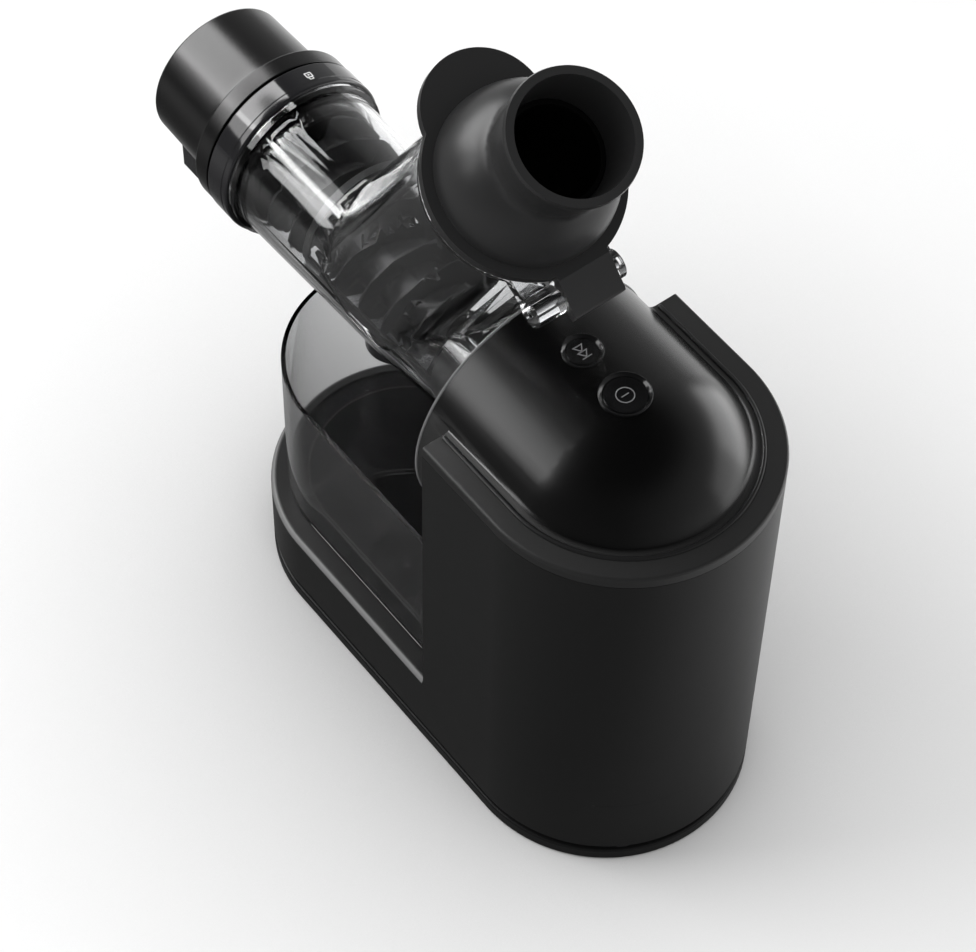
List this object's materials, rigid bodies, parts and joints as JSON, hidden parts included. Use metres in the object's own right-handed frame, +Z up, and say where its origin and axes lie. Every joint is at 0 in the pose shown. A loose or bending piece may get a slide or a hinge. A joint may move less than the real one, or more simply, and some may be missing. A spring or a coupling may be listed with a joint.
{
  "type": "cold press juicer",
  "caption": "Horizontal slow juicer: black stadium base and domed motor tower, clear drum with auger, tilted feed chute with funnel lid, pulp cap and a clear jug on the deck.",
  "frame": {"origin": "on the resting surface, below the middle of the whole outline", "axes": "+Z up; -Y towards the pulp cap, +Y towards the motor tower; +X to the right when the tower is behind"},
  "size_m": [0.144, 0.3846, 0.418],
  "materials": {
    "auger_grey": "satin, moulded",
    "board_green": "solder mask",
    "brass": "turned",
    "bright_steel": "turned",
    "carbon": "carbon",
    "cast_grey": "die cast",
    "clear_plastic": "clear, polished",
    "copper": "enamelled winding",
    "cover_black": "satin, moulded",
    "gear_metal": "sintered",
    "gear_plastic": "natural, moulded",
    "gloss_black": "high gloss",
    "housing_black": "fine matte grain",
    "magnet_grey": "sintered ferrite",
    "motor_steel": "drawn, plated",
    "nylon_white": "natural, moulded",
    "part_black": "moulded",
    "seal_grey": "matte",
    "sieve_steel": "satin, perforated",
    "sleeve_blue": "printed sleeve without marks",
    "smoke_clear": "smoky, high gloss",
    "soft_black": "matte",
    "zinc": "plated"
  },
  "bodies": {
    "housing": {"bottom_plate": "housing_black", "rubber_feet": "soft_black", "outer_housing": "housing_black", "top_cover": "cover_black", "housing_screws": "zinc", "cord_bush": "soft_black", "power_bezel": "gloss_black", "reverse_bezel": "gloss_black", "switch_board": "board_green", "tact_switches": "part_black", "control_board": "board_green", "board_capacitor": "sleeve_blue", "board_relay": "part_black", "board_screws": "zinc", "drum_socket": "part_black", "socket_screws": "zinc", "shaft_seal": "seal_grey", "interlock_switch": "part_black", "gearbox_case": "cast_grey", "gearbox_cover": "cast_grey", "gearbox_screws": "zinc", "mounting_screws": "zinc", "gear_pins": "bright_steel", "output_bearings": "bright_steel", "motor_can": "motor_steel", "motor_front_bell": "motor_steel", "motor_rear_bell": "motor_steel", "motor_bushes": "brass", "motor_magnets": "magnet_grey", "motor_screws": "zinc", "motor_brushes": "carbon"},
    "power_key": {"power_button": "gloss_black"},
    "reverse_key": {"reverse_button": "gloss_black"},
    "rotor": {"motor_pinion": "brass", "rotor_core": "copper", "commutator": "copper", "motor_shaft": "bright_steel", "cooling_fan": "part_black"},
    "first_wheel": {"first_gear": "gear_plastic"},
    "second_wheel": {"second_gear": "gear_plastic"},
    "output": {"output_gear": "gear_metal", "output_shaft": "bright_steel"},
    "drum_unit": {"drum": "clear_plastic", "drum_collar": "smoke_clear", "drum_seal": "seal_grey", "juice_spout": "smoke_clear", "hinge_pin": "bright_steel", "sieve_frame": "auger_grey", "sieve_screen": "sieve_steel"},
    "auger_unit": {"auger": "auger_grey", "auger_drive": "part_black"},
    "cap_unit": {"end_cap": "cover_black", "pulp_spout": "smoke_clear", "cap_seal": "seal_grey", "front_bush": "nylon_white"},
    "lid_unit": {"feed_lid": "cover_black", "feed_ring": "gloss_black", "lid_gasket": "seal_grey"},
    "jug_unit": {"juice_jug": "clear_plastic"}
  },
  "joints": [
    {"name": "power_press", "type": "slide", "parent": "housing", "child": "power_key", "axis": [0, 0, -1], "range_m": [0, 0.0015], "stiffness_N_per_m": 300, "springref_m": -0.001},
    {"name": "reverse_press", "type": "slide", "parent": "housing", "child": "reverse_key", "axis": [0, 0, -1], "range_m": [0, 0.0015], "stiffness_N_per_m": 300, "springref_m": -0.001},
    {"name": "rotor_spin", "type": "hinge", "parent": "housing", "child": "rotor", "pos_m": [0, 0.15, 0.10425], "axis": [0, 1, 0], "continuous": true},
    {"name": "first_wheel_spin", "type": "hinge", "parent": "housing", "child": "first_wheel", "pos_m": [0.00799, 0.115, 0.13317], "axis": [0, 1, 0], "continuous": true},
    {"name": "second_wheel_spin", "type": "hinge", "parent": "housing", "child": "second_wheel", "pos_m": [-0.014, 0.105, 0.16354], "axis": [0, 1, 0], "continuous": true},
    {"name": "output_spin", "type": "hinge", "parent": "housing", "child": "output", "pos_m": [0, 0.095, 0.2105], "axis": [0, 1, 0], "continuous": true},
    {"name": "drum_pull", "type": "slide", "parent": "housing", "child": "drum_unit", "axis": [0, -1, 0], "range_m": [0, 0.06]},
    {"name": "auger_spin", "type": "hinge", "parent": "drum_unit", "child": "auger_unit", "pos_m": [0, 0, 0.2105], "axis": [0, 1, 0], "continuous": true},
    {"name": "cap_twist", "type": "hinge", "parent": "drum_unit", "child": "cap_unit", "pos_m": [0, -0.146, 0.2105], "axis": [0, 1, 0], "range_deg": [0, 30]},
    {"name": "feed_lid_hinge", "type": "hinge", "parent": "drum_unit", "child": "lid_unit", "pos_m": [0, 0.08642, 0.31921], "axis": [-1, 0, 0], "range_deg": [0, 105]},
    {"name": "jug_pull", "type": "slide", "parent": "housing", "child": "jug_unit", "axis": [0, -1, 0], "range_m": [0, 0.16]}
  ],
  "couplings": [
    {"joint": "first_wheel_spin", "follows": "rotor_spin", "ratio": -0.25},
    {"joint": "second_wheel_spin", "follows": "rotor_spin", "ratio": 0.0625},
    {"joint": "output_spin", "follows": "rotor_spin", "ratio": -0.020833},
    {"joint": "auger_spin", "follows": "rotor_spin", "ratio": -0.020833}
  ]
}
